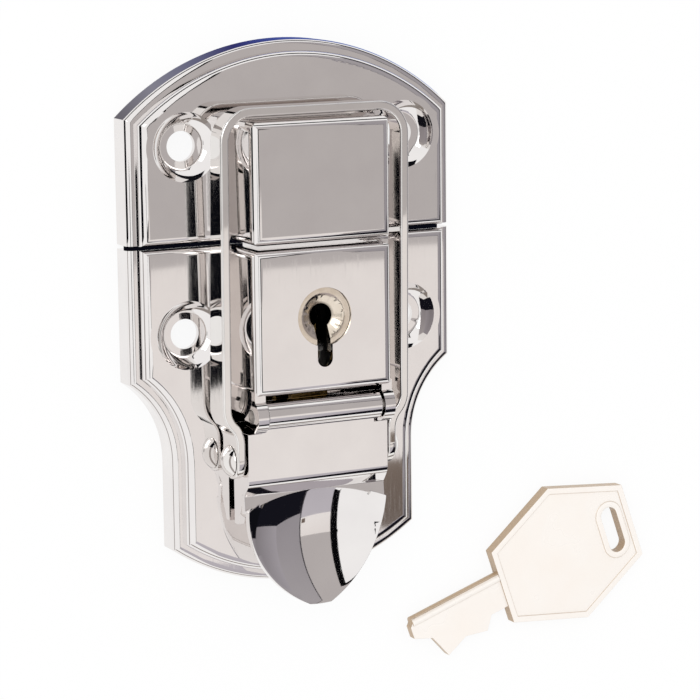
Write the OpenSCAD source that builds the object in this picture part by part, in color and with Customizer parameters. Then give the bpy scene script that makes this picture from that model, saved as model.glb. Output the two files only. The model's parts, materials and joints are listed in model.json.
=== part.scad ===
// Locking draw latch for a case: a catch plate, a base plate with a lock box,
// a thumb lever that draws a bail over the catch, a small lever lock and its key.
// X runs across the plates, Y up towards the catch plate, Z out of the mounting face.
// The origin is midway between the base plate's screw holes, on the mounting face.

/* [Plates] */
// Width of both plates over their skirts
plate_w = 50; // [46:0.5:60]
// Thickness of the pressed plate steel
sheet = 0.8; // [0.6:0.1:1]
// Height of the narrow ledge above the mounting face
ledge_h = 3.6; // [3.2:0.1:4]
// Width of the ledge, from the skirt to the step
ledge_w = 1.6; // [1.3:0.1:2]
// Height of the flat field above the mounting face
flat_h = 5.2; // [4.8:0.1:5.8]
// Outer radius between skirt and ledge
edge_r = 1; // [0.8:0.1:1.2]
// Outer radius at the top of the step
step_r = 1.2; // [1:0.1:1.4]
// Gap between the two plates at the parting line
seam_gap = 0.6; // [0.3:0.1:1]

/* [Catch plate] */
// Straight side of the catch plate above the parting line
catch_side = 17.6; // [15:0.2:22]
// Rise of the arched top above the straight sides
arch_rise = 10; // [8:0.2:12]
// Catch screws above the parting line
catch_screw_rise = 13.6; // [12:0.2:15]

/* [Base plate] */
// Shoulder of the base plate below the parting line
shoulder_drop = 19; // [18:0.2:21]
// Width of the narrow lower part
neck_w = 38; // [36:0.5:42]
// Height over which the hollow shoulder narrows
shoulder_h = 11.5; // [10:0.2:13]
// Straight side of the base plate below the parting line
base_side = 43; // [41:0.2:46]
// Drop of the rounded bottom below the straight sides
belly_drop = 6.3; // [5:0.2:8]
// Base screws below the parting line
base_screw_drop = 12.4; // [11:0.1:13.5]

/* [Screw dimples] */
// Screw hole diameter
screw_hole_d = 4.2; // [3.4:0.1:4.6]
// Dimple diameter at the flat field
dimple_d = 9.6; // [8.8:0.1:10]
// Flat seat diameter at the bottom of the dimple
seat_d = 6; // [5.4:0.1:6.4]
// Place of the dimples in the spare width from box to border, 0 at the box
screw_share = 0.68; // [0.3:0.02:0.7]
// Depth of the dimple
dimple_depth = 1.6; // [1.2:0.1:2]

/* [Boxes] */
// Width of the catch box and the lock box
box_w = 21.1; // [20.5:0.1:22]
// Height of both boxes above the flat field
box_h = 8.3; // [8:0.1:9]
// Rounding of the box edges
box_r = 1.3; // [1:0.1:1.5]
// Length of the catch box above the parting line
catch_box_l = 17.2; // [15:0.2:18.4]
// Length of the lock box below the parting line
lock_box_l = 20.6; // [20:0.1:21.2]

/* [Lever] */
// Hinge pin below the end of the lock box
hinge_drop = 2.7; // [2.6:0.1:3.2]
// Hinge pin above the mounting face
hinge_h = 11.8; // [11.6:0.1:12.4]
// Hinge pin diameter
pin_d = 2; // [1.6:0.1:2.2]
// Outside diameter of the rolled knuckle
knuckle_d = 4; // [3.6:0.1:4.2]
// Thickness of the hinge ears
ear_t = 1.6; // [1.2:0.1:1.8]
// Thickness of the lever steel
lever_sheet = 1; // [0.8:0.1:1.1]
// Width of the lever's flat
lever_w = 21.6; // [21:0.1:21.8]
// Front of the lever's flat above the mounting face
lever_face_h = 11.1; // [10.9:0.1:11.6]
// Length of the flat from the hinge pin to the bend
lever_flat_l = 9.8; // [9.6:0.1:10.4]
// Distance from the bend down to the brow, along the plate
ramp_l = 1.9; // [1.7:0.1:2.3]
// Drop of the brow below the flat
ramp_drop = 1.55; // [1.4:0.05:1.8]
// Width of the lever at the brow
brow_w = 21.8; // [21.6:0.1:22]
// Radius of the arched brow over the scoop
brow_r = 26; // [24:0.5:32]
// Radius at which the scoop's bowl reaches its rim
scoop_r = 10; // [9.6:0.1:10.4]
// Depth of the scoop's bowl
scoop_depth = 2.6; // [2.3:0.1:2.8]
// Radius of each side of the scoop's outline
scoop_side_r = 16; // [15:0.2:17]
// Width of the scoop where it is widest
scoop_w = 21.4; // [21:0.1:21.8]
// Tilt of the scoop's rim from the plate
scoop_tilt = 6; // [5:0.5:8]
// Gap between the scoop's back and the plate
scoop_gap = 0.5; // [0.4:0.1:1]

/* [Bail] */
// Bail pivot below the hinge pin
pivot_drop = 6.6; // [6:0.1:7]
// Bail pivot above the mounting face
pivot_h = 8.3; // [8.1:0.1:8.5]
// Thickness of the bail strap
strap_t = 1.3; // [1.1:0.1:1.4]
// Depth of the strap at the crossbar
strap_d = 3.4; // [3:0.1:3.8]
// Front of the crossbar above the mounting face
bail_front_h = 11.6; // [11.2:0.1:12]
// Distance between the middles of the two bail arms
bail_span = 27.4; // [27:0.1:29]
// Middle radius of the bail's two corners
bail_corner_r = 4; // [3:0.1:5]
// Radius of the eye at each arm's end
eye_r = 2.6; // [2.4:0.1:2.8]
// Bail rivet shank diameter
rivet_d = 2.4; // [2:0.1:2.6]
// Bail rivet head diameter
rivet_head_d = 4.5; // [4:0.1:4.8]

/* [Lock] */
// Key axis below the parting line
key_axis_drop = 10; // [9.6:0.1:10.6]
// Diameter of the key drum
drum_d = 8.1; // [7.8:0.1:8.4]
// Width of the keyhole slot
key_slot_w = 2.3; // [2:0.1:2.6]
// Length of the keyhole slot below the key axis
key_slot_l = 7; // [6.4:0.1:7.2]
// Throw of the lock bolt
bolt_throw = 2.4; // [2:0.1:2.6]
// Thickness of the lock bolt
bolt_t = 1.2; // [1:0.1:1.3]
// Back of the lock bolt above the mounting face
bolt_h = 7.2; // [7.1:0.1:7.4]
// Thickness of one tumbler
tumbler_t = 0.8; // [0.6:0.1:0.8]
// Diameter of the tumbler post
tumbler_post_d = 2; // [1.6:0.1:2.2]

/* [Key] */
// Length of the key's bow
bow_l = 24; // [22:0.5:26]
// Width of the key's bow
bow_w = 22; // [20:0.5:24]
// Length of the key's blade
blade_l = 16; // [14:0.5:18]
// Thickness of the key's bow
bow_t = 1.8; // [1.4:0.1:2.2]
// Turn of the key from the X axis
key_turn = 19; // [0:1:45]

/* [Fits] */
// Radial gap of pins and drums in their holes
run_gap = 0.05; // [0.03:0.01:0.08]
// Side gap between moving pieces
side_gap = 0.25; // [0.2:0.05:0.3]
// Gap between the crossbar and the catch box when closed
draw_gap = 0.6; // [0.5:0.05:0.8]
// Gap around pieces that are pressed or crimped in place
seat_gap = 0.02; // [0.01:0.01:0.04]

/* [Hidden] */
$fn = 64;

inner_r = 0.2;
seam_y = base_screw_drop;
plate_half = plate_w / 2;
reach = 3 * plate_w;
over = 1;

// Outline centres and radii, each from the chord and rise of its arc
catch_side_y = seam_y + catch_side;
catch_top_y = catch_side_y + arch_rise;
arch_r = (plate_half ^ 2 + arch_rise ^ 2) / (2 * arch_rise);
shoulder_y = seam_y - shoulder_drop;
neck_half = neck_w / 2;
neck_y = shoulder_y - shoulder_h;
neck_step = plate_half - neck_half;
neck_r = (neck_step ^ 2 + shoulder_h ^ 2) / (2 * neck_step);
base_side_y = seam_y - base_side;
base_bottom_y = base_side_y - belly_drop;
belly_r = (neck_half ^ 2 + belly_drop ^ 2) / (2 * belly_drop);
border_clear = 2 * (ledge_w + step_r);

// Dimple: the bowl's sphere passes through the rim and the edge of the seat
seat_h = flat_h - dimple_depth;
bowl_rise = ((dimple_d / 2) ^ 2 - (seat_d / 2) ^ 2 - dimple_depth ^ 2) / (2 * dimple_depth);
bowl_r = norm([dimple_d / 2, bowl_rise]);

// Boxes, with the dimples beside them
front_h = flat_h + box_h;
box_half = box_w / 2;
screw_spare = plate_half - ledge_w - step_r - box_half - dimple_d;
screw_x = box_half + dimple_d / 2 + screw_share * screw_spare;
catch_box_y = [seam_y + seam_gap / 2, seam_y + catch_box_l];
lock_box_y = [seam_y - lock_box_l, seam_y - seam_gap / 2];

// Hinge and lever
hinge_y = lock_box_y[0] - hinge_drop;
ear_clear = 0.3;
ear_r = hinge_drop - ear_clear;
knuckle_half = box_half - ear_t - side_gap;
lever_mid_h = lever_face_h - lever_sheet / 2;
flat_top_y = hinge_y - ear_r - side_gap;
bend_y = hinge_y - lever_flat_l;
brow_y = bend_y - ramp_l;
brow_h = lever_face_h - ramp_drop;
scoop_ball_r = (scoop_r ^ 2 + scoop_depth ^ 2) / (2 * scoop_depth);
scoop_up = 0.66 * scoop_r;
scoop_side_y = 0.48 * scoop_r;
scoop_tip_y = 0.15 * scoop_r;
scoop_y = brow_y - scoop_up * cos(scoop_tilt);
scoop_h = brow_h + scoop_up * sin(scoop_tilt);
// Lever flanges carry the bail rivets outside the lever's flat
flange_out = lever_w / 2;
flange_h = flat_h + scoop_gap + 0.4;
flange_end_y = brow_y - 4.4;

// Bail
pivot_y = hinge_y - pivot_drop;
eye_x = flange_out + side_gap + strap_t / 2;
eye_neck = 0.97 * eye_r;
arm_x = bail_span / 2;
jog_l = 5;
jog_y = pivot_y + eye_r;
jog_r = ((arm_x - eye_x) ^ 2 + jog_l ^ 2) / (4 * (arm_x - eye_x));
jog_turn = 2 * atan((arm_x - eye_x) / jog_l);
crossbar_y = catch_box_y[1] + draw_gap + strap_t / 2;
rivet_head_h = 1.2;
rivet_tail_d = rivet_d + 0.8;
rivet_tail_h = 0.7;

// Lock: a deck on four posts over a pressed back cover
box_in = box_half - sheet;
lock_in_y = [lock_box_y[0] + sheet, lock_box_y[1] - sheet];
cover_half = box_in - seat_gap;
cover_y = [lock_in_y[0] + seat_gap, lock_in_y[1] - seat_gap];
bolt_room = 0.8;
cover_h = bolt_h - bolt_room;
cover_r = max(box_r - sheet, inner_r);
key_y = seam_y - key_axis_drop;
bolt_top_h = bolt_h + bolt_t;
deck_gap = 0.2;
deck_h = bolt_top_h + deck_gap;
post_r = 1.2;
tenon_r = 0.8;
post_in = sheet + post_r + deck_gap;
post_x = cover_half - post_in;
post_y = [cover_y[0] + post_in, cover_y[1] - post_in];
drum_r = drum_d / 2;
drum_gap = 0.15;
drum_bottom_h = bolt_top_h + drum_gap;
drum_lip = 1.2;
washer_h = 1.4;
drum_recess = 0.4;
drum_bore_r = 1.7;
drum_bore_l = 3;
dish_r = 3.4;
dish_depth = 1;
drum_face_h = front_h - drum_recess;
flange_top_h = front_h - sheet - drum_gap;
flange_bottom_h = deck_h + sheet + washer_h;
drum_flange_r = drum_r + drum_lip;
key_pin_r = 1;

// Bolt: the key's bit throws it by a talon notch in its rail
talon_w = bolt_throw + key_slot_w / 2;
bolt_half = post_x - post_r - deck_gap;
bolt_tip_half = 2.8;
tongue_in = 0.4;
tongue_y = flat_top_y - tongue_in;
bolt_tip_y = tongue_y + 3 * side_gap;
bolt_foot_y = lock_in_y[0] + bolt_throw + side_gap;
bolt_bar = 1.4;
bolt_head_l = 2.4;
talon_x = bolt_half - bolt_bar;
bolt_rise = 6.6;
bolt_head_y = key_y + bolt_rise;
bolt_rail_x = key_slot_w / 2 - side_gap;
stump_r = 0.7;
stump_out = 4.2;
stump_at = [-stump_out, bolt_head_y - bolt_head_l / 2];

// Tumblers
tumbler_out = 5.8;
tumbler_rise = 3.4;
tumbler_at = [tumbler_out, key_y + tumbler_rise];
tumbler_gap = 0.35;
tumbler_base_h = 2;
tumbler_eye_r = tumbler_post_d / 2 + 1;
tumbler_top_y = bolt_head_y + deck_gap;
tumbler_n = 3;
leaf_t = 0.25;
leaf_w = 4;
function tumbler_h(i) = tumbler_base_h + i * (tumbler_t + tumbler_gap);

// Key, lying beside the plates
key_at = [34.8, -43.2];
rib_r = bow_t / 2;
blade_t = bow_t - 2 * deck_gap;
bow_edge = bow_w * 0.54;
ring_r = bow_w / 16;
ring_half = bow_w / 9.5;
ring_in = bow_l * 0.15;
blade_w = bow_w * 0.1;
bit_w = bow_w * 0.26;
key_step = blade_l / 8;

function unit(v) = v / norm(v);
function left_of(v) = [-v[1], v[0]];
function backwards(p) = [for (i = [len(p) - 1:-1:0]) p[i]];
function rest(p) = [for (i = [1:len(p) - 1]) p[i]];
function arc(centre, r, from, to, steps = 12) =
    [for (i = [0:steps]) let (a = from + (to - from) * i / steps) centre + r * [cos(a), sin(a)]];
// Points at a distance to the left of a path, with mitred corners
function beside(p, d) = [for (i = [0:len(p) - 1])
    let (ahead = unit(p[min(i + 1, len(p) - 1)] - p[min(i, len(p) - 2)]),
         behind = unit(p[max(i, 1)] - p[max(i - 1, 0)]),
         n = unit(left_of(ahead + behind)))
    p[i] + n * d / (n * left_of(ahead))];
function ribbon(p, t) = concat(beside(p, t / 2), backwards(beside(p, -t / 2)));

// Block with one rounded upper corner, growing inwards from the outline
module rounded_block(start, top, r, bottom) {
    translate([start, bottom]) square([reach, top - r - bottom]);
    translate([start + r, bottom]) square([reach - r, top - bottom]);
    translate([start + r, top - r]) circle(r);
}

// Section of a stepped plate border; inset 0 is the outside, sheet the inside
module border_section(inset) {
    bottom = inset > 0 ? -over : 0;
    rounded_block(inset, ledge_h - inset, max(edge_r - inset, inner_r), bottom);
    rounded_block(ledge_w + inset, flat_h - inset, max(step_r - inset, inner_r), bottom);
}

module seam_section(inset) {
    rounded_block(inset, flat_h - inset, max(edge_r - inset, inner_r), inset > 0 ? -over : 0);
}

// Half space of the plate above or below a line across it
module above(y) { translate([-reach, y, -reach]) cube(2 * reach); }
module below(y) { translate([-reach, y - 2 * reach, -reach]) cube(2 * reach); }

module left_border(inset, half) {
    translate([-half, 0, 0]) rotate([90, 0, 0]) linear_extrude(2 * reach, center = true) border_section(inset);
}

module both_sides() {
    intersection() {
        children();
        mirror([1, 0, 0]) children();
    }
}

// Border that follows a convex arc of the outline
module round_border(inset, centre_y, r) {
    translate([0, centre_y, 0]) rotate_extrude() intersection() {
        translate([r, 0]) mirror([1, 0]) border_section(inset);
        translate([0, -over]) square([r, reach]);
    }
}

// Border of the hollow shoulder and of the straight neck under it
module neck_border(inset) {
    intersection() {
        left_border(inset, neck_half);
        below(neck_y + over);
    }
    intersection() {
        translate([-neck_half - neck_r, neck_y, 0]) rotate_extrude()
            translate([neck_r, 0]) border_section(inset);
        above(neck_y);
    }
}

module catch_blank(inset) {
    intersection() {
        both_sides() left_border(inset, plate_half);
        translate([0, catch_box_y[0], 0]) rotate([90, 0, 90]) linear_extrude(2 * reach, center = true)
            seam_section(inset);
        union() {
            intersection() {
                round_border(inset, catch_top_y - arch_r, arch_r);
                above(catch_side_y - border_clear);
            }
            translate([-reach, -reach, inset > 0 ? -over : 0])
                cube([2 * reach, reach + catch_side_y - border_clear + over,
                    flat_h - inset + (inset > 0 ? over : 0)]);
        }
    }
}

module base_blank(inset) {
    intersection() {
        both_sides() left_border(inset, plate_half);
        both_sides() neck_border(inset);
        translate([0, lock_box_y[1], 0]) rotate([90, 0, -90]) linear_extrude(2 * reach, center = true)
            seam_section(inset);
        union() {
            intersection() {
                round_border(inset, base_bottom_y + belly_r, belly_r);
                below(base_side_y + border_clear);
            }
            translate([-reach, base_side_y + border_clear - over, inset > 0 ? -over : 0])
                cube([2 * reach, reach, flat_h - inset + (inset > 0 ? over : 0)]);
        }
    }
}

// Arched section of a box with two rounded upper corners
module crown(half, top, r, bottom) {
    translate([-half, bottom]) square([2 * half, top - r - bottom]);
    translate([r - half, bottom]) square([2 * (half - r), top - bottom]);
    for (s = [-1, 1]) translate([s * (half - r), top - r]) circle(r);
}

module rounded_plan(half, y, r) {
    translate([-half, y[0] + r]) square([2 * half, y[1] - y[0] - 2 * r]);
    translate([r - half, y[0]]) square([2 * (half - r), y[1] - y[0]]);
    for (s = [-1, 1], end = [y[0] + r, y[1] - r]) translate([s * (half - r), end]) circle(r);
}

// Pressed box with every upper edge rounded
module pressed_box(half, y, top, r, bottom) {
    middle = (y[0] + y[1]) / 2;
    half_l = (y[1] - y[0]) / 2;
    intersection() {
        translate([0, middle, 0]) rotate([90, 0, 0]) linear_extrude(2 * half_l, center = true)
            crown(half, top, r, bottom);
        translate([0, middle, 0]) rotate([90, 0, 90]) linear_extrude(2 * half, center = true)
            crown(half_l, top, r, bottom);
        translate([0, 0, bottom]) linear_extrude(top - bottom) rounded_plan(half, y, r);
    }
}

module box_outside(y) { pressed_box(box_half, y, front_h, box_r, flat_h - sheet); }
module box_inside(y) {
    pressed_box(box_in, [y[0] + sheet, y[1] - sheet], front_h - sheet, max(box_r - sheet, inner_r), -over);
}

// Bowl pressed round a screw hole, with a flat seat
module bowl(grow) {
    intersection() {
        translate([0, 0, flat_h + bowl_rise]) sphere(bowl_r + grow);
        translate([-reach / 2, -reach / 2, seat_h - grow]) cube([reach, reach, flat_h - seat_h + grow]);
    }
}

module at_screws(y) {
    for (s = [-1, 1]) translate([s * screw_x, y, 0]) children();
}

// Dimples and screw holes, worked into a pressed plate
module with_screw_dimples(y) {
    difference() {
        union() {
            children();
            at_screws(y) bowl(sheet);
        }
        at_screws(y) bowl(0);
        at_screws(y) translate([0, 0, -over]) cylinder(d = screw_hole_d, h = flat_h + 2 * over);
    }
}

module catch_plate() {
    color("gainsboro") with_screw_dimples(seam_y + catch_screw_rise) difference() {
        union() {
            catch_blank(0);
            box_outside(catch_box_y);
        }
        catch_blank(sheet);
        box_inside(catch_box_y);
    }
}

module hinge_ear() {
    translate([box_half - ear_t, 0, 0]) rotate([90, 0, 90]) linear_extrude(ear_t) {
        translate([hinge_y, hinge_h]) circle(ear_r);
        translate([hinge_y, flat_h - sheet]) square([hinge_drop + sheet, hinge_h + ear_r / 2 - flat_h + sheet]);
    }
}

module along_hinge(d, l) {
    translate([0, hinge_y, hinge_h]) rotate([0, 90, 0]) cylinder(d = d, h = l, center = true);
}

// Keyhole: a round hole for the drum with a slot for the bit below it
module keyhole(r, w, l) {
    translate([0, key_y]) circle(r);
    translate([-w / 2, key_y - l + w / 2]) square([w, l - w / 2]);
    translate([0, key_y - l + w / 2]) circle(d = w);
}

module base_plate() {
    color("gainsboro") with_screw_dimples(0) difference() {
        union() {
            base_blank(0);
            box_outside(lock_box_y);
            for (s = [0, 1]) mirror([s, 0, 0]) hinge_ear();
        }
        base_blank(sheet);
        box_inside(lock_box_y);
        along_hinge(pin_d + 2 * seat_gap, plate_w);
        translate([0, 0, front_h - 2 * sheet]) linear_extrude(3 * sheet)
            keyhole(drum_r + run_gap, key_slot_w, key_slot_l);
        translate([-bolt_tip_half - side_gap, lock_box_y[0] - over, bolt_h - side_gap])
            cube([2 * (bolt_tip_half + side_gap), sheet + 2 * over, bolt_t + 2 * side_gap]);
    }
}

module lever_pin() {
    color("silver") along_hinge(pin_d, box_w);
}

// Front line of the lever's sheet, from the knuckle over the bend to the brow
lever_front = [[hinge_y, lever_face_h], [bend_y, lever_face_h], [brow_y, brow_h]];

module lever_sheet_form() {
    intersection() {
        translate([-reach / 2, 0, 0]) rotate([90, 0, 90]) linear_extrude(reach)
            polygon(concat(lever_front, backwards(beside(lever_front, lever_sheet))));
        linear_extrude(reach) polygon([
            for (s = [1, -1]) each (s > 0 ? lever_plan() : [for (p = backwards(lever_plan())) [-p[0], p[1]]])]);
    }
}

function lever_plan() = [
    [knuckle_half, hinge_y + knuckle_d], [knuckle_half, flat_top_y], [lever_w / 2, flat_top_y],
    [lever_w / 2, bend_y], [brow_w / 2, brow_y + ramp_l / 3], [brow_w / 2, brow_y - over]];

module lever_flange() {
    translate([flange_out - lever_sheet, 0, 0]) rotate([90, 0, 90]) linear_extrude(lever_sheet) polygon([
        [flat_top_y, lever_mid_h], [flat_top_y, pivot_h - eye_r / 2], [pivot_y + eye_r / 2, flange_h],
        [flange_end_y, flange_h], [flange_end_y, flange_h + lever_sheet],
        [brow_y, brow_h - lever_sheet / 2], [bend_y, lever_mid_h]]);
}

module scoop_ball(grow) {
    translate([0, 0, scoop_ball_r - scoop_depth]) sphere(scoop_ball_r + grow, $fn = 4 * $fn);
}

// Outline of the scoop, two wide side arcs and one that rounds the thumb's end
module scoop_column() {
    shift = scoop_side_r - scoop_w / 2;
    translate([0, scoop_side_y, -scoop_r]) intersection() {
        translate([shift, 0, 0]) cylinder(r = scoop_side_r, h = 2 * scoop_r);
        translate([-shift, 0, 0]) cylinder(r = scoop_side_r, h = 2 * scoop_r);
        translate([0, scoop_tip_y, 0]) cylinder(r = scoop_side_r, h = 2 * scoop_r);
    }
}

module brow_column(grow, top) {
    translate([0, scoop_up - brow_r, top - 2 * scoop_r]) cylinder(r = brow_r + grow, h = 2 * scoop_r);
}

// Bowl of the thumb scoop under an arched brow that steps down into it
module lever_scoop() {
    translate([0, scoop_y, scoop_h]) rotate([-scoop_tilt, 0, 0]) {
        difference() {
            intersection() {
                scoop_ball(lever_sheet);
                scoop_column();
                brow_column(side_gap, scoop_r);
            }
            scoop_ball(0);
        }
        difference() {
            intersection() {
                scoop_ball(lever_sheet);
                scoop_column();
                brow_column(lever_sheet, 0);
            }
            brow_column(0, scoop_r);
        }
        difference() {
            translate([-brow_w / 2, 0, -lever_sheet]) cube([brow_w, scoop_up + side_gap, lever_sheet]);
            brow_column(0, scoop_r);
        }
    }
}

// Cross wall behind the flat, with the slot that the lock bolt enters
module lever_tongue() {
    difference() {
        translate([-flange_out + lever_sheet / 2, tongue_y - lever_sheet, flange_h])
            cube([2 * flange_out - lever_sheet, lever_sheet, lever_mid_h - flange_h]);
        translate([-bolt_tip_half - side_gap, tongue_y - lever_sheet - over, bolt_h - side_gap])
            cube([2 * (bolt_tip_half + side_gap), lever_sheet + 2 * over, bolt_t + 2 * side_gap]);
    }
}

module along_pivot(d, from, to) {
    translate([from, pivot_y, pivot_h]) rotate([0, 90, 0]) cylinder(d = d, h = to - from);
}

module lever() {
    color("whitesmoke") difference() {
        union() {
            along_hinge(knuckle_d, 2 * knuckle_half);
            lever_sheet_form();
            lever_scoop();
            lever_tongue();
            for (s = [0, 1]) mirror([s, 0, 0]) lever_flange();
        }
        along_hinge(pin_d + 2 * run_gap, plate_w);
        along_pivot(rivet_d + 2 * seat_gap, -plate_w, plate_w);
    }
}

// Middle line of the bail strap, from the left eye round to the right eye
function bail_half() = concat(
    [[eye_x, pivot_y - eye_r - over]],
    arc([eye_x + jog_r, jog_y], jog_r, 180, 180 - jog_turn, 6),
    rest(backwards(arc([arm_x - jog_r, jog_y + jog_l], jog_r, 0, -jog_turn, 6))),
    arc([arm_x - bail_corner_r, crossbar_y - bail_corner_r], bail_corner_r, 0, 90));

module bail() {
    half = bail_half();
    path = concat([for (p = half) [-p[0], p[1]]], backwards(half));
    color("gainsboro") difference() {
        intersection() {
            linear_extrude(front_h) polygon(ribbon(path, strap_t));
            union() {
                along_pivot(2 * eye_r, -plate_w, plate_w);
                translate([-plate_w, 0, 0]) rotate([90, 0, 90]) linear_extrude(2 * plate_w) polygon([
                    [pivot_y, pivot_h - eye_neck], [pivot_y, pivot_h + eye_neck],
                    [crossbar_y + strap_t, bail_front_h], [crossbar_y + strap_t, bail_front_h - strap_d]]);
            }
        }
        along_pivot(rivet_d + 2 * run_gap, -plate_w, plate_w);
    }
}

// Rivet with a domed head outside the bail's eye and a flat tail inside the flange
module bail_rivet() {
    tail_x = flange_out - lever_sheet;
    head_x = eye_x + strap_t / 2 + run_gap;
    dome_r = ((rivet_head_d / 2) ^ 2 + rivet_head_h ^ 2) / (2 * rivet_head_h);
    color("silver") {
        along_pivot(rivet_d, tail_x - rivet_tail_h, head_x + rivet_head_h / 2);
        along_pivot(rivet_tail_d, tail_x - rivet_tail_h, tail_x);
        translate([head_x, pivot_y, pivot_h]) rotate([0, 90, 0]) rotate_extrude() intersection() {
            translate([0, rivet_head_h - dome_r]) circle(dome_r);
            square([rivet_head_d / 2, rivet_head_h]);
        }
    }
}

module bail_rivet_right() { bail_rivet(); }
module bail_rivet_left() { mirror([1, 0, 0]) bail_rivet(); }

module at_posts() {
    for (s = [-1, 1], y = post_y) translate([s * post_x, y, 0]) children();
}

module lock_cover() {
    color("silver") difference() {
        linear_extrude(cover_h) rounded_plan(cover_half, cover_y, cover_r);
        translate([0, 0, sheet]) linear_extrude(cover_h)
            rounded_plan(cover_half - sheet, [cover_y[0] + sheet, cover_y[1] - sheet], inner_r);
        at_posts() translate([0, 0, -over]) cylinder(r = tenon_r + seat_gap, h = sheet + 2 * over);
        translate([tumbler_at[0], tumbler_at[1], -over])
            cylinder(d = tumbler_post_d + 2 * seat_gap, h = sheet + 2 * over);
    }
}

module lock_deck() {
    color("silver") translate([0, 0, deck_h]) linear_extrude(sheet) difference() {
        rounded_plan(cover_half, cover_y, cover_r);
        keyhole(drum_r + run_gap, key_slot_w, key_slot_l);
        at_posts() circle(tenon_r + seat_gap);
    }
}

module deck_posts() {
    color("silver") at_posts() {
        cylinder(r = tenon_r, h = deck_h + sheet);
        translate([0, 0, sheet]) cylinder(r = post_r, h = deck_h - sheet);
    }
}

// Drum that the key turns: dished face, keyway and a flange behind the box's front
module key_drum() {
    color("tan") difference() {
        translate([0, key_y, 0]) {
            translate([0, 0, drum_bottom_h]) cylinder(r = drum_r, h = drum_face_h - drum_bottom_h);
            translate([0, 0, flange_bottom_h])
                cylinder(r = drum_flange_r, h = flange_top_h - flange_bottom_h);
        }
        translate([0, 0, drum_bottom_h - over]) linear_extrude(reach)
            keyhole(key_pin_r, key_slot_w - side_gap, key_slot_l);
        translate([0, key_y, drum_face_h - dish_depth])
            cylinder(r1 = drum_bore_r, r2 = dish_r, h = dish_depth);
        translate([0, key_y, drum_face_h - drum_bore_l])
            cylinder(r = drum_bore_r, h = drum_bore_l + drum_recess);
    }
}

// Conical spring washer between the deck and the drum's flange
module drum_washer() {
    low = deck_h + sheet + run_gap;
    high = flange_bottom_h - run_gap;
    color("silver") translate([0, key_y, 0]) rotate_extrude() polygon([
        [drum_r + side_gap, low], [drum_flange_r, high - leaf_t], [drum_flange_r, high],
        [drum_r + side_gap, low + leaf_t]]);
}

module lock_bolt() {
    color("burlywood") {
        translate([0, 0, bolt_h]) linear_extrude(bolt_t) difference() {
            union() {
                translate([bolt_rail_x, bolt_foot_y])
                    square([bolt_half - bolt_rail_x, bolt_head_y - bolt_foot_y]);
                translate([-bolt_half, bolt_head_y - bolt_head_l]) square([2 * bolt_half, bolt_head_l]);
                translate([-bolt_half, bolt_foot_y]) square([2 * bolt_half, bolt_bar]);
                translate([-bolt_tip_half, bolt_tip_y])
                    square([2 * bolt_tip_half, bolt_foot_y - bolt_tip_y + bolt_bar]);
            }
            translate([0, key_y - talon_w / 2]) square([talon_x, talon_w]);
        }
        translate([stump_at[0], stump_at[1], tumbler_base_h - tumbler_gap])
            cylinder(r = stump_r, h = bolt_h - tumbler_base_h + tumbler_gap + bolt_t / 2);
    }
}

// Leaf seated on the cover's wall, which keeps the bolt from rattling
module bolt_spring() {
    seat = cover_h + seat_gap + leaf_t / 2;
    tip = bolt_h - leaf_t;
    color("steelblue") rotate([90, 0, 90]) linear_extrude(leaf_w, center = true) polygon(ribbon([
        [cover_y[1], seat], [cover_y[1] - bolt_bar, seat],
        [bolt_head_y - bolt_head_l / 2, tip], [bolt_head_y - bolt_head_l, tip]], leaf_t));
}

module on_tumbler_post(h) {
    translate([tumbler_at[0], tumbler_at[1], h]) children();
}

module tumbler_post() {
    top_h = tumbler_h(tumbler_n - 1) + tumbler_t + run_gap;
    color("silver") {
        on_tumbler_post(0) cylinder(d = tumbler_post_d, h = top_h);
        on_tumbler_post(top_h) cylinder(d = tumbler_post_d + 1.2, h = 0.5);
    }
}

// Lever tumbler: an eye on the post, an arm over the key and a gate for the bolt's stump
module tumbler(i) {
    gate = stump_r + tumbler_gap;
    gate_y = [stump_at[1] - bolt_throw - stump_r - 0.5, stump_at[1] + stump_r + 0.2];
    rim = 0.8;
    color("burlywood") translate([0, 0, tumbler_h(i)]) linear_extrude(tumbler_t) difference() {
        union() {
            translate(tumbler_at) circle(tumbler_eye_r);
            translate([stump_at[0], tumbler_at[1] + 0.4])
                square([tumbler_at[0] - stump_at[0], tumbler_top_y - tumbler_at[1] - 0.4]);
            translate([stump_at[0] - gate - rim, gate_y[0] - rim])
                square([2 * (gate + rim), gate_y[1] - gate_y[0] + 2 * rim]);
        }
        translate([stump_at[0] - gate, gate_y[0]]) square([2 * gate, gate_y[1] - gate_y[0]]);
        translate(tumbler_at) circle(d = tumbler_post_d + 2 * run_gap);
    }
}

module tumbler_rear() { tumbler(0); }
module tumbler_middle() { tumbler(1); }
module tumbler_front() { tumbler(2); }

// Washers that keep the tumblers apart on their post
module tumbler_spacers() {
    color("silver") for (i = [0:tumbler_n - 1]) {
        low = i == 0 ? sheet : tumbler_h(i) - tumbler_gap + run_gap;
        on_tumbler_post(low) difference() {
            cylinder(r = tumbler_eye_r, h = tumbler_h(i) - run_gap - low);
            translate([0, 0, -over]) cylinder(d = tumbler_post_d + 2 * seat_gap, h = reach);
        }
    }
}

// Leaf springs on the cover's wall, one over each tumbler's arm
module tumbler_springs() {
    wall_y = cover_y[1] - sheet - seat_gap - leaf_t / 2;
    rest_y = tumbler_top_y + 0.55;
    color("steelblue") for (i = [0:tumbler_n - 1]) translate([0, 0, tumbler_h(i)]) linear_extrude(tumbler_t)
        polygon(ribbon([[leaf_w, wall_y], [leaf_w / 2, wall_y], [0, rest_y], [-leaf_w / 4, rest_y + leaf_t / 5]],
            leaf_t));
}

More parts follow.
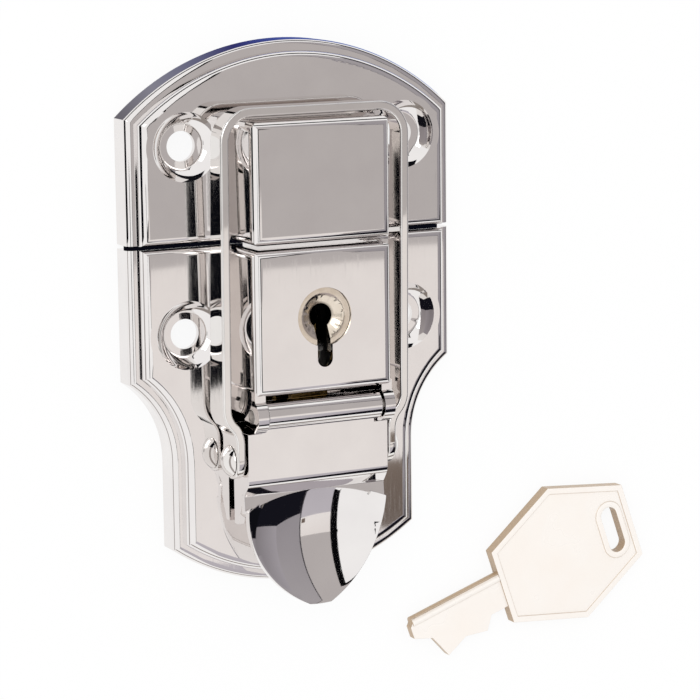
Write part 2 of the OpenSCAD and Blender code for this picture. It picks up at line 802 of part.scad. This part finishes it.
// Flat key with a six-sided bow, a rib along the blade and a stepped bit
module key() {
    color("wheat") translate([key_at[0], key_at[1], 0]) rotate([0, 0, key_turn]) {
        linear_extrude(bow_t) difference() {
            polygon([[0, -bow_edge / 2], [bow_l / 2, -bow_w / 2], [bow_l, -bow_edge / 2],
                     [bow_l, bow_edge / 2], [bow_l / 2, bow_w / 2], [0, bow_edge / 2]]);
            for (s = [-1, 1]) translate([bow_l - ring_in, s * ring_half]) circle(ring_r);
            translate([bow_l - ring_in - ring_r, -ring_half]) square([2 * ring_r, 2 * ring_half]);
        }
        translate([-blade_l, 0, (bow_t - blade_t) / 2]) linear_extrude(blade_t) polygon([
            [blade_l + over, blade_w], [key_step / 2, blade_w], [0, blade_w / 2], [0, -blade_w / 3],
            [1.4 * key_step, -bit_w * 0.35], [2.2 * key_step, -bit_w], [4 * key_step, -bit_w * 0.75],
            [5.8 * key_step, -bit_w * 0.9], [6.5 * key_step, -bit_w * 0.55], [blade_l + over, -bit_w * 0.55]]);
        translate([key_step / 4 - blade_l, blade_w * 0.72, rib_r]) rotate([0, 90, 0])
            cylinder(r = rib_r, h = blade_l + key_step);
    }
}

catch_plate();
base_plate();
lever();
lever_pin();
bail();
bail_rivet_left();
bail_rivet_right();
lock_cover();
lock_deck();
deck_posts();
key_drum();
drum_washer();
lock_bolt();
bolt_spring();
tumbler_post();
tumbler_rear();
tumbler_middle();
tumbler_front();
tumbler_spacers();
tumbler_springs();
key();
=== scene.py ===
# %% [markdown]
# # A locking draw latch in bright nickel
# The latch is a pressed-steel case fitting: two stepped plates, a strap bail,
# a thumb lever and a small key lock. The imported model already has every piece
# at its real size, so this lesson loads it as a fixed frame and then works on
# edges, finishes and light. Blender counts in metres; most lengths below are
# written in millimetres and multiplied by MM.

import json
import math

import bpy
from mathutils import Matrix, Vector

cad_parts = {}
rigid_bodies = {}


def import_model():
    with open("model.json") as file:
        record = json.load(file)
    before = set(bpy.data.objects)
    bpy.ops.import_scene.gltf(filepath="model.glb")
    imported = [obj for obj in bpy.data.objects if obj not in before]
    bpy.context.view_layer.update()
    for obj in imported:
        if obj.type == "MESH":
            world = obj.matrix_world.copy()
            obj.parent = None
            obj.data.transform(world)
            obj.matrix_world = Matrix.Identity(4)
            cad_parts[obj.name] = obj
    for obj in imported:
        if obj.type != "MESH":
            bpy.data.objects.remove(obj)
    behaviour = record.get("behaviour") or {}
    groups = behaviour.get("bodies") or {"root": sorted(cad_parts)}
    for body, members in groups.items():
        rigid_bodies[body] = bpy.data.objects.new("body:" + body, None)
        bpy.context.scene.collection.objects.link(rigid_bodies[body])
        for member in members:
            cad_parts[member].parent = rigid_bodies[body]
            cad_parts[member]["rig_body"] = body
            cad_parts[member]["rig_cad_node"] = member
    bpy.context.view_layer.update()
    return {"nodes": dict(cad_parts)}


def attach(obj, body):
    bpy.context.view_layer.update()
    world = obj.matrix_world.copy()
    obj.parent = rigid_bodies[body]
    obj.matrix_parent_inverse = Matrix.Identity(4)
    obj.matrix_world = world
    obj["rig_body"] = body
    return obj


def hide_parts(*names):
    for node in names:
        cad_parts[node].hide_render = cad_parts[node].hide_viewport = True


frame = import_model()
MM = 0.001
print("pieces in the frame:", len(frame["nodes"]))

# %% [markdown]
# ## Camera
# The latch lies on its back on a pale table and is seen from above and a
# little from the left, with a long lens, so that its sides stay almost
# parallel. Three directions fix the view: the picture's right, its up, and the
# way back to the camera. Written as the rows of a matrix and turned over, they
# give the camera's rotation without any aiming constraint.

# %% Set the camera
LENS_MM, SENSOR_MM = 146.43, 36
CAMERA_AT_MM = Vector((-170.581, 65.759, 360.27))
TO_CAMERA = Vector((-0.4425, 0.1734, 0.8799)).normalized()
ROUGHLY_RIGHT = Vector((0.8925, -0.0111, 0.4510))

camera_data = bpy.data.cameras.new("camera")
camera_data.sensor_width = SENSOR_MM
camera_data.lens = LENS_MM
camera_data.clip_start = 0.01
camera_data.clip_end = 20
camera = bpy.data.objects.new("camera", camera_data)
bpy.context.scene.collection.objects.link(camera)
# Take out what leans towards the camera, so that right and back are square.
picture_right = (ROUGHLY_RIGHT - TO_CAMERA * ROUGHLY_RIGHT.dot(TO_CAMERA)).normalized()
picture_up = TO_CAMERA.cross(picture_right)
turn = Matrix((picture_right, picture_up, TO_CAMERA)).transposed().to_4x4()
camera.matrix_world = Matrix.Translation(CAMERA_AT_MM * MM) @ turn
bpy.context.scene.camera = camera
bpy.context.scene.view_settings.view_transform = "Standard"
print("camera stands", round(camera.location.length / MM), "mm from the origin")

# %% [markdown]
# ## Small helpers for finishes
# Colours are written as the hex values that a screen shows and turned to the
# linear values that shaders use. One function adds a node, sets its fields and
# links its inputs.

# %% Helpers for colours and nodes
def linear(hex_colour):
    values = [int(hex_colour[i : i + 2], 16) / 255 for i in (1, 3, 5)]
    curve = [v / 12.92 if v <= 0.04045 else ((v + 0.055) / 1.055) ** 2.4 for v in values]
    return curve + [1.0]


def add(material, kind, inputs=None, **settings):
    node = material.node_tree.nodes.new(kind)
    for key, value in settings.items():
        setattr(node, key, value)
    for key, value in (inputs or {}).items():
        if isinstance(value, bpy.types.NodeSocket):
            material.node_tree.links.new(value, node.inputs[key])
        else:
            node.inputs[key].default_value = value
    return node


def blank(name):
    material = bpy.data.materials.new(name)
    material.use_nodes = True
    material.node_tree.nodes.clear()
    return material


print("a mid grey on screen is", round(linear("#808080")[0], 3), "to the shaders")

# %% [markdown]
# ## Five steps that every finish uses
# A finish starts from a noise of a given size in millimetres. The noise is
# stretched to a useful range, blends two colours, or lifts the surface as a
# bump. The last step gathers colour, roughness and bump into one surface.

# %% Steps of a finish
def noise(material, place, size_mm, detail):
    inputs = {"Vector": place, "Scale": 1 / (size_mm * MM), "Detail": detail}
    return add(material, "ShaderNodeTexNoise", inputs).outputs["Fac"]


def remap(material, value, source, target):
    inputs = {"Value": value, "From Min": source[0], "From Max": source[1]}
    inputs.update({"To Min": target[0], "To Max": target[1]})
    return add(material, "ShaderNodeMapRange", inputs).outputs["Result"]


def blend(material, share, first, second):
    inputs = {"Fac": share, "Color1": first, "Color2": second}
    return add(material, "ShaderNodeMixRGB", inputs).outputs["Color"]


def bump(material, height, depth_mm):
    inputs = {"Height": height, "Strength": 1.0, "Distance": depth_mm * MM}
    return add(material, "ShaderNodeBump", inputs).outputs["Normal"]


def gather(material, colour, roughness, normal=None, metallic=1.0):
    inputs = {"Base Color": colour, "Metallic": metallic, "Roughness": roughness}
    if normal is not None:
        inputs["Normal"] = normal
    surface = add(material, "ShaderNodeBsdfPrincipled", inputs)
    add(material, "ShaderNodeOutputMaterial", {"Surface": surface.outputs["BSDF"]})


MIDDLE = (0.3, 0.7)  # where most of a noise lies
print("finish steps ready")

# %% [markdown]
# ## Bright nickel on pressed steel
# The plates, lever and bail are steel, pressed or bent, polished and plated
# with bright nickel. The plating is a mirror with a faint warm tone. It is
# never perfect: the press leaves shallow waves some 9 mm long that bend the
# reflections, and handling leaves fine hair scratches and a thin haze. A noise
# at each of those sizes drives the bump, the roughness and the tone.

# %% Bright nickel
SCRATCH_MM = 0.25  # real hair scratches are finer, but this is what the picture can show
SCRATCH_STRETCH = (1.0, 0.06, 1.0)
SCRATCH_TURN = (0.0, 0.0, 0.35)
SMEAR_MM = 5


def bright_nickel(name, tone, shade, wave_mm, wave_depth_mm, haze):
    material = blank(name)
    place = add(material, "ShaderNodeTexCoord").outputs["Object"]
    wave = noise(material, place, wave_mm, 1.0)
    along = {"Vector": place, "Scale": SCRATCH_STRETCH, "Rotation": SCRATCH_TURN}
    drawn = add(material, "ShaderNodeMapping", along).outputs["Vector"]
    scratch = noise(material, drawn, SCRATCH_MM, 2.0)
    smear = noise(material, place, SMEAR_MM, 4.0)
    rough = remap(material, scratch, (0.55, 0.8), (haze, haze + 0.05))
    colour = blend(material, smear, linear(tone), linear(shade))
    gather(material, colour, rough, bump(material, wave, wave_depth_mm))
    return material


plate_nickel = bright_nickel("bright_nickel_pressed", "#F1EEEC", "#E6E2E1", 9, 0.004, 0.035)
bail_nickel = bright_nickel("bright_nickel_strap", "#F0EDEA", "#E4E0DD", 12, 0.003, 0.03)
print("bright finishes:", plate_nickel.name, bail_nickel.name)

# %% [markdown]
# ## Rolled metals of the lock
# The parts inside the lock are plain rolled steel and brass, with the grain
# that rolling leaves along one direction. They share one build: a stretched
# grain sets the roughness and the height, and a cloud 4 mm wide sets the tone.

# %% Rolled metals
CLOUD_MM = 4
ALONG_Y, ALONG_X = (1, 0.1, 1), (0.1, 1, 1)


def rolled_metal(name, light, dark, grain_mm, stretch, roughness, depth_mm):
    material = blank(name)
    place = add(material, "ShaderNodeTexCoord").outputs["Object"]
    along = add(material, "ShaderNodeMapping", {"Vector": place, "Scale": stretch})
    grain = noise(material, along.outputs["Vector"], grain_mm, 3.0)
    cloud = remap(material, noise(material, place, CLOUD_MM, 3.0), MIDDLE, (0.0, 1.0))
    colour = blend(material, cloud, linear(light), linear(dark))
    rough = remap(material, grain, MIDDLE, roughness)
    gather(material, colour, rough, bump(material, grain, depth_mm))
    return material


lock_steel = rolled_metal("rolled_steel", "#C9C7C4", "#A9A6A3", 0.25, ALONG_Y, (0.25, 0.4), 0.004)
lock_brass = rolled_metal("rolled_brass", "#CDAE70", "#A9864C", 0.25, ALONG_X, (0.22, 0.38), 0.004)
spring_steel = rolled_metal(
    "blued_spring_steel", "#8C93A0", "#5F6674", 0.2, ALONG_Y, (0.2, 0.35), 0.003
)
print("rolled finishes:", lock_steel.name, lock_brass.name, spring_steel.name)

# %% [markdown]
# ## Frosted nickel for the key
# The key was stamped from nickel silver and tumbled, which frosts its faces, so
# much of its light is scattered and not mirrored. Its side faces get a painted
# brown shade, told apart from the front by the direction of the surface.

# %% Frosted nickel
FACE_TO_EDGE = (0.97, 0.5)  # the Z of the surface direction, from clean to full painted shade

key_nickel = blank("tumbled_nickel_silver")
space = add(key_nickel, "ShaderNodeTexCoord")
lean = add(key_nickel, "ShaderNodeSeparateXYZ", {"Vector": space.outputs["Normal"]})
upright = add(key_nickel, "ShaderNodeMath", {0: lean.outputs["Z"]}, operation="ABSOLUTE")
side_shade = remap(key_nickel, upright.outputs[0], FACE_TO_EDGE, (0.0, 1.0))
cloud = noise(key_nickel, space.outputs["Object"], 6, 2.0)
clean = blend(key_nickel, cloud, linear("#FFFBF6"), linear("#FBF2E9"))
# painted shade: faces that lean away from the front turn brown
tone = blend(key_nickel, side_shade, clean, linear("#B9A185"))
gather(key_nickel, tone, remap(key_nickel, cloud, MIDDLE, (0.26, 0.34)), metallic=0.1)
print("key finish:", key_nickel.name)

# %% [markdown]
# ## The drum in the keyhole
# The drum is a turned nickel plug with a shallow cone and a bore. This finish
# turns from cream metal to near-black with depth, as painted shade in the bore.
# It reads the height along the drum's own axis: the cone ends 12.1 mm above the
# mounting plane.

# %% Turned nickel with painted shade in the bore
BORE_SHADE_Z = (12.3 * MM, 11.9 * MM)  # from clean metal down to full painted shade in the bore

drum_nickel = blank("turned_nickel_painted_shade_bore")
place = add(drum_nickel, "ShaderNodeTexCoord").outputs["Object"]
height = add(drum_nickel, "ShaderNodeSeparateXYZ", {"Vector": place}).outputs["Z"]
cloud = noise(drum_nickel, place, 1.5, 3.0)
metal = blend(drum_nickel, cloud, linear("#F3EADD"), linear("#D2C2AE"))
bore_shade = remap(drum_nickel, height, BORE_SHADE_Z, (0.0, 1.0))
# painted shade: the bore turns near-black with depth
tone = blend(drum_nickel, bore_shade, metal, linear("#0C0B0A"))
gather(drum_nickel, tone, remap(drum_nickel, bore_shade, (0.0, 1.0), (0.16, 0.6)))
print("drum finish:", drum_nickel.name)

# %% [markdown]
# ## Two forms too fine for the solids
# The key's bow has a low rim round its face: the flat front is inset, and its
# middle is sunk by a hair. The lever has one long bend where its flat turns
# down to the ramp, and that bend is rounded. Both tools first pick out faces or
# edges by a test, so that nothing depends on the numbering of the mesh.

# %% Pick out, sink and round
LEVEL = 0.999  # a face counts as level when its direction has this much Z
TOP_SLACK_MM = 0.02
LARGE_SHARE = 0.2  # of the largest level face
SLOPE_MM, SINK_MM = 0.12, 0.15
BEND_LENGTH, BEND_Y, BEND_Z = 15, -20.5, 10.8


def pick(piece, kind, wanted):
    bpy.ops.object.mode_set(mode="EDIT")
    bpy.ops.mesh.select_mode(type=kind)
    bpy.ops.mesh.select_all(action="DESELECT")
    bpy.ops.object.mode_set(mode="OBJECT")
    items = piece.data.polygons if kind == "FACE" else piece.data.edges
    for item in items:
        item.select = wanted(item)
    print(piece.name, kind.lower() + "s picked:", sum(item.select for item in items))
    bpy.ops.object.mode_set(mode="EDIT")


def sink_front(piece, rim_mm):
    largest = max(face.area for face in piece.data.polygons if face.normal.z > LEVEL)
    top = max(v.co.z for v in piece.data.vertices) - TOP_SLACK_MM * MM

    def is_front(face):
        level = face.normal.z > LEVEL and face.center.z > top
        return level and face.area > LARGE_SHARE * largest

    pick(piece, "FACE", is_front)
    bpy.ops.mesh.inset(thickness=rim_mm * MM, depth=0)
    bpy.ops.mesh.inset(thickness=SLOPE_MM * MM, depth=-SINK_MM * MM)
    bpy.ops.object.mode_set(mode="OBJECT")


def soften_bend(piece, bend_mm):
    def is_bend(edge):
        a, b = [piece.data.vertices[i].co / MM for i in edge.vertices]
        across = abs(a.x - b.x) > BEND_LENGTH
        return across and max(a.y, b.y) < BEND_Y and min(a.z, b.z) > BEND_Z

    pick(piece, "EDGE", is_bend)
    bpy.ops.mesh.bevel(offset=bend_mm * MM, segments=6, affect="EDGES", clamp_overlap=False)
    bpy.ops.object.mode_set(mode="OBJECT")


print("the key's middle will lie", SINK_MM, "mm below its rim")

# %% [markdown]
# ## From solids to metal pieces
# The solids arrive as loose triangles with hard edges. Real pressed steel has
# no hard edge, and a mirror finish shows it: each bend catches a thin bright
# or dark line. So each node is copied, its triangles are merged into whole
# faces, its sharp edges get a small bevel, and it is shaded smooth by angle.
# The copy then stands for the node and rides on the same body.

# %% Clean and shade a copy
FLAT_DEG, SHARP_DEG, SMOOTH_DEG = 0.4, 35, 40


def clean_copy(node, merge_mm):
    bpy.ops.object.select_all(action="DESELECT")
    solid = frame["nodes"][node]
    piece = solid.copy()
    piece.data = solid.data.copy()
    piece.name = node + "_metal"
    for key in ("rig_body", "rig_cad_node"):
        if key in piece:
            del piece[key]
    piece.parent = None
    bpy.context.scene.collection.objects.link(piece)
    piece.select_set(True)
    bpy.context.view_layer.objects.active = piece
    bpy.ops.object.mode_set(mode="EDIT")
    bpy.ops.mesh.select_all(action="SELECT")
    bpy.ops.mesh.remove_doubles(threshold=merge_mm * MM)
    bpy.ops.mesh.dissolve_limited(angle_limit=math.radians(FLAT_DEG))
    bpy.ops.object.mode_set(mode="OBJECT")
    return piece


def shade(piece):
    bpy.ops.object.shade_smooth_by_angle(angle=math.radians(SMOOTH_DEG))
    # Large flat faces keep their own direction, so the small bevels take all the turn.
    flats = piece.modifiers.new("flat_faces", "WEIGHTED_NORMAL")
    flats.mode = "FACE_AREA"
    flats.weight = 100
    flats.keep_sharp = True
    bpy.ops.object.modifier_apply(modifier="flat_faces")


print("edges sharper than", SHARP_DEG, "degrees will be bevelled")

# %% [markdown]
# ## All steps for one piece
# One call takes a node through every step: the clean copy, the fine forms where
# asked for, the bevel, the shading, the finish in its material slot, and last
# the body it rides on. The node itself is then hidden.

# %% Dress one solid
def dress(
    node,
    body,
    finish,
    edge_mm,
    segments=3,
    rim_mm=0.0,
    bend_mm=0.0,
    merge_mm=0.002,
    clamp=True,
):
    piece = clean_copy(node, merge_mm)
    if rim_mm:
        sink_front(piece, rim_mm)
    if bend_mm:
        soften_bend(piece, bend_mm)
    if edge_mm:
        bevel = piece.modifiers.new("soft_edges", "BEVEL")
        bevel.width = edge_mm * MM
        bevel.segments = segments
        bevel.limit_method = "ANGLE"
        bevel.angle_limit = math.radians(SHARP_DEG)
        bevel.use_clamp_overlap = clamp
        bpy.ops.object.modifier_apply(modifier="soft_edges")
    shade(piece)
    piece.data.materials.clear()
    piece.data.materials.append(finish)
    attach(piece, body)
    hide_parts(node)
    print(piece.name, len(piece.data.polygons), "faces")


# %% [markdown]
# ## Plates, lever, bail and rivets
# These are the bright pieces. The pressed plates have thin edges, so their
# bevel is small. The rim of the lever's scoop is made of many short edges, and
# a wide bevel would fold over itself there. So the lever merges points that
# lie very close, and gets a very fine bevel without the usual clamp.

# %% Bright pieces
dress("catch_plate", "plates", plate_nickel, 0.25, 4)
dress("base_plate", "plates", plate_nickel, 0.25, 4)
dress(
    "lever", "lever", plate_nickel, 0.05, bend_mm=0.6, merge_mm=0.04, clamp=False
)
dress("bail", "bail", bail_nickel, 0.5, 5)
dress("bail_rivet_left", "lever", bail_nickel, 0.1)
dress("bail_rivet_right", "lever", bail_nickel, 0.1)

# %% [markdown]
# ## Lock and key
# The drum shows in the keyhole and the key lies beside the latch. The rest of
# the lock is seen only from behind or through the keyhole, and gets its rolled
# metals on the same kind of copy. The leaf springs are too thin for a bevel.

# %% Lock and key pieces
dress("key_drum", "drum", drum_nickel, 0.12)
dress("key", "plates", key_nickel, 0.06, rim_mm=0.85, merge_mm=0.02, clamp=False)
dress("lever_pin", "plates", lock_steel, 0.15)
for node in ("lock_cover", "lock_deck", "deck_posts"):
    dress(node, "plates", lock_steel, 0.06, 2)
for node in ("drum_washer", "tumbler_post", "tumbler_spacers"):
    dress(node, "plates", lock_steel, 0.06, 2)
dress("lock_bolt", "bolt", lock_brass, 0.08, 2)
dress("tumbler_rear", "tumbler_a", lock_brass, 0.06, 2)
dress("tumbler_middle", "tumbler_b", lock_brass, 0.06, 2)
dress("tumbler_front", "tumbler_c", lock_brass, 0.06, 2)
for node in ("bolt_spring", "tumbler_springs"):
    dress(node, "plates", spring_steel, 0.0)

# %% [markdown]
# ## A white table
# Bright metal shows the room more than itself, so the room is built with care.
# The table glows white for the camera and for reflections, with a tenth of
# plain matt paint left, which keeps a faint shadow. From below it is clear, so
# that the hollow back of the latch can be looked at.

# %% Table
TABLE_SIZE, TABLE_Z = 6, -0.2 * MM
GLOW_SHARE = 0.9

bpy.ops.object.select_all(action="DESELECT")
bpy.ops.mesh.primitive_plane_add(size=TABLE_SIZE, location=(0, 0, TABLE_Z))
table = bpy.context.object
table.name = "table"
table_white = blank("matt_white_table")


def calculate(operation, first, second):
    node = add(table_white, "ShaderNodeMath", {0: first, 1: second}, operation=operation)
    return node.outputs[0]


def mix(share, first, second):
    shaders = {0: share, 1: first.outputs[0], 2: second.outputs[0]}
    return add(table_white, "ShaderNodeMixShader", shaders)


rays = add(table_white, "ShaderNodeLightPath").outputs
seen = calculate("MAXIMUM", rays["Is Camera Ray"], rays["Is Glossy Ray"])
seen = calculate("MAXIMUM", seen, rays["Is Transmission Ray"])
matt = add(table_white, "ShaderNodeBsdfDiffuse", {"Color": linear("#F4F4F4")})
glow = add(table_white, "ShaderNodeEmission", {"Color": (1, 1, 1, 1), "Strength": 1.0})
above = mix(calculate("MULTIPLY", seen, GLOW_SHARE), matt, glow)
below = add(table_white, "ShaderNodeNewGeometry").outputs["Backfacing"]
sided = mix(below, above, add(table_white, "ShaderNodeBsdfTransparent"))
add(table_white, "ShaderNodeOutputMaterial", {"Surface": sided.outputs[0]})
table.data.materials.append(table_white)
print("table lies", abs(TABLE_Z) / MM, "mm below the mounting plane")

# %% [markdown]
# ## A white room
# The world is plain white for the camera, for reflections and for soft light
# alike.

# %% World
world = bpy.data.worlds.new("white_room")
bpy.context.scene.world = world
world.use_nodes = True
sky = world.node_tree.nodes["Background"].inputs
sky["Color"].default_value = (1, 1, 1, 1)
sky["Strength"].default_value = 1.0
print("world:", world.name)

# %% [markdown]
# ## Grey and black cards
# In an all-white room a mirror has no shape. A photographer stands cards
# around it: their dark shapes appear in the metal as the stripes that show its
# bends. Each card is one flat face that only reflections see. Its tone runs
# from its first edge to its last.

# %% One card
CORNERS_UV = ((0, 0), (1, 0), (1, 1), (0, 1))


def card(name, corners_mm, near, far):
    bpy.ops.object.select_all(action="DESELECT")
    mesh = bpy.data.meshes.new(name)
    mesh.from_pydata([Vector(c) * MM for c in corners_mm], [], [(0, 1, 2, 3)])
    mesh.uv_layers.new(name="card")
    for loop, uv in zip(mesh.uv_layers["card"].data, CORNERS_UV):
        loop.uv = uv
    slab = bpy.data.objects.new(name, mesh)
    bpy.context.scene.collection.objects.link(slab)
    paint = blank(name + "_paint")
    uv = add(paint, "ShaderNodeUVMap", uv_map="card")
    split = add(paint, "ShaderNodeSeparateXYZ", {"Vector": uv.outputs["UV"]})
    tone = blend(paint, split.outputs["Y"], linear(near), linear(far))
    glow = add(paint, "ShaderNodeEmission", {"Color": tone, "Strength": 1.0})
    add(paint, "ShaderNodeOutputMaterial", {"Surface": glow.outputs[0]})
    mesh.materials.append(paint)
    slab.visible_camera = False
    slab.visible_diffuse = False
    slab.visible_shadow = False
    return slab


print("cards are seen in reflections only")

# %% [markdown]
# ## Where the cards hang
# Most cards hang level above the latch and are given by their reach in X and
# in Y, in millimetres. Two walls close the right side, and one small black
# card stands at the left of the upper plate.

# %% Large cards
TOP = 330
WALL_X, WALL_LOW = 460, 50


def overhead(name, x, y, near, far, z=TOP):
    corners = ((x[0], y[0], z), (x[1], y[0], z), (x[1], y[1], z), (x[0], y[1], z))
    return card(name, corners, near, far)


def wall(name, x, y, z, near, far):
    corners = ((x, y[0], z[0]), (x, y[1], z[0]), (x, y[1], z[1]), (x, y[0], z[1]))
    return card(name, corners, near, far)


overhead("grey_sheet", (48, 206), (-41, 560), "#BEB9B8", "#BEB9B8")
overhead("pale_sheet", (48, 206), (-125, -41), "#F4F0EE", "#EFEAE7")
overhead("dim_sheet", (48, 206), (-560, -125), "#B9B5BC", "#C3BFC6")
overhead("sheet_joint", (206, 214), (-560, 560), "#3A383C", "#4A484C")
overhead("lilac_sheet", (214, WALL_X), (-150, 560), "#9B979C", "#B4B0B2")
overhead("dark_corner", (214, WALL_X), (-560, -150), "#16161E", "#16161E")
overhead("black_strip", (18, 48), (-280, 560), "#08080A", "#08080A")
overhead("left_flag", (-205, -150), (-75, -15), "#0B0C12", "#0B0C12")
overhead("brown_box", (176, 198), (-118, -99), "#6E635C", "#7A6D64", TOP - 4)
wall("right_wall", WALL_X, (-150, 560), (WALL_LOW, TOP), "#7E7A7E", "#A8A4AA")
wall("dark_wall", WALL_X, (-560, -150), (WALL_LOW, TOP), "#16161E", "#16161E")
wall("left_black", -62, (8, 48), (1, 26), "#0C0D12", "#0C0D12")
print("large cards placed: 12")

# %% [markdown]
# ## A dark band low down
# Steep little bends look sideways, at a band just above the table. It is black
# to the right and behind, and light in front and to the left, where the latch
# has only pale lines. Its twelve cards count from +X round through +Y.

# %% Band
BAND, BAND_R, BAND_LOW, BAND_HIGH = 12, 440, 4, 100
tones = ["#101116"] * BAND
tones[5:8] = ["#A9A4A2"] * 3  # left
tones[8:11] = ["#97908B"] * 3  # front
for i, tone in enumerate(tones):
    ends = [2 * math.pi * (i + j) / BAND for j in (0, 1)]
    ring = [(BAND_R * math.cos(t), BAND_R * math.sin(t)) for t in ends]
    low = [(*point, BAND_LOW) for point in ring]
    high = [(*point, BAND_HIGH) for point in reversed(ring)]
    card(f"band_{i}", (*low, *high), tone, tone)
print("band cards:", BAND)

# %% [markdown]
# ## Paper strips on the table
# Round the arched edge lies a strip of blue paper, which turns grey towards the
# left: it colours the upright rim of the plate. Two dark strips under the joint
# of the plates are painted shade that keeps that joint dark, and these the
# camera may see.

# %% Paper strips
ARCH_Y, ARCH_R, ARCH_HALF = 3.75, 36.25, math.radians(43.6)
PAPER_R, PAPER_Z = 1.2 * ARCH_R, -0.1
JOINT_Y = (11.5, 12.7)
blues = ["#6E6C74", "#8A8A98", "#6B6D88", "#33346F", "#46559F"]
blues += ["#5F72B4", "#8195CB", "#9DADD9", "#B4C0E4"]
steps = len(blues) - 1
for i in range(steps):
    start, end = [math.pi / 2 + ARCH_HALF * (1 - 2 * (i + j) / steps) for j in (0, 1)]
    corners = [
        (r * math.cos(t), ARCH_Y + r * math.sin(t), PAPER_Z)
        for r, t in ((ARCH_R, start), (PAPER_R, start), (PAPER_R, end), (ARCH_R, end))
    ]
    card(f"blue_paper_{i}", corners, blues[i], blues[i + 1])

# painted shade: dark strips under the joint of the plates, seen by the camera
for side, x in (("left", (-24, -6)), ("right", (18, 25))):
    paper = overhead(f"joint_paper_{side}", x, JOINT_Y, "#0A0B14", "#0A0B14", PAPER_Z)
    paper.visible_camera = True
print("paper strips:", steps + 2)

# %% [markdown]
# ## One soft lamp
# A broad lamp above the left shoulder of the camera gives the satin key its
# light side and the table its faint shadow.

# %% Lamp
LAMP_AT = Vector((-0.55, 0.35, 0.75))
lamp_data = bpy.data.lights.new("soft_lamp", "AREA")
lamp_data.shape = "RECTANGLE"
lamp_data.size = 0.5
lamp_data.size_y = 0.4
lamp_data.energy = 1.5
lamp = bpy.data.objects.new("soft_lamp", lamp_data)
lamp.location = LAMP_AT
lamp.rotation_euler = (-LAMP_AT).to_track_quat("-Z", "Y").to_euler()
bpy.context.scene.collection.objects.link(lamp)
print("lamp:", lamp_data.energy, "W")
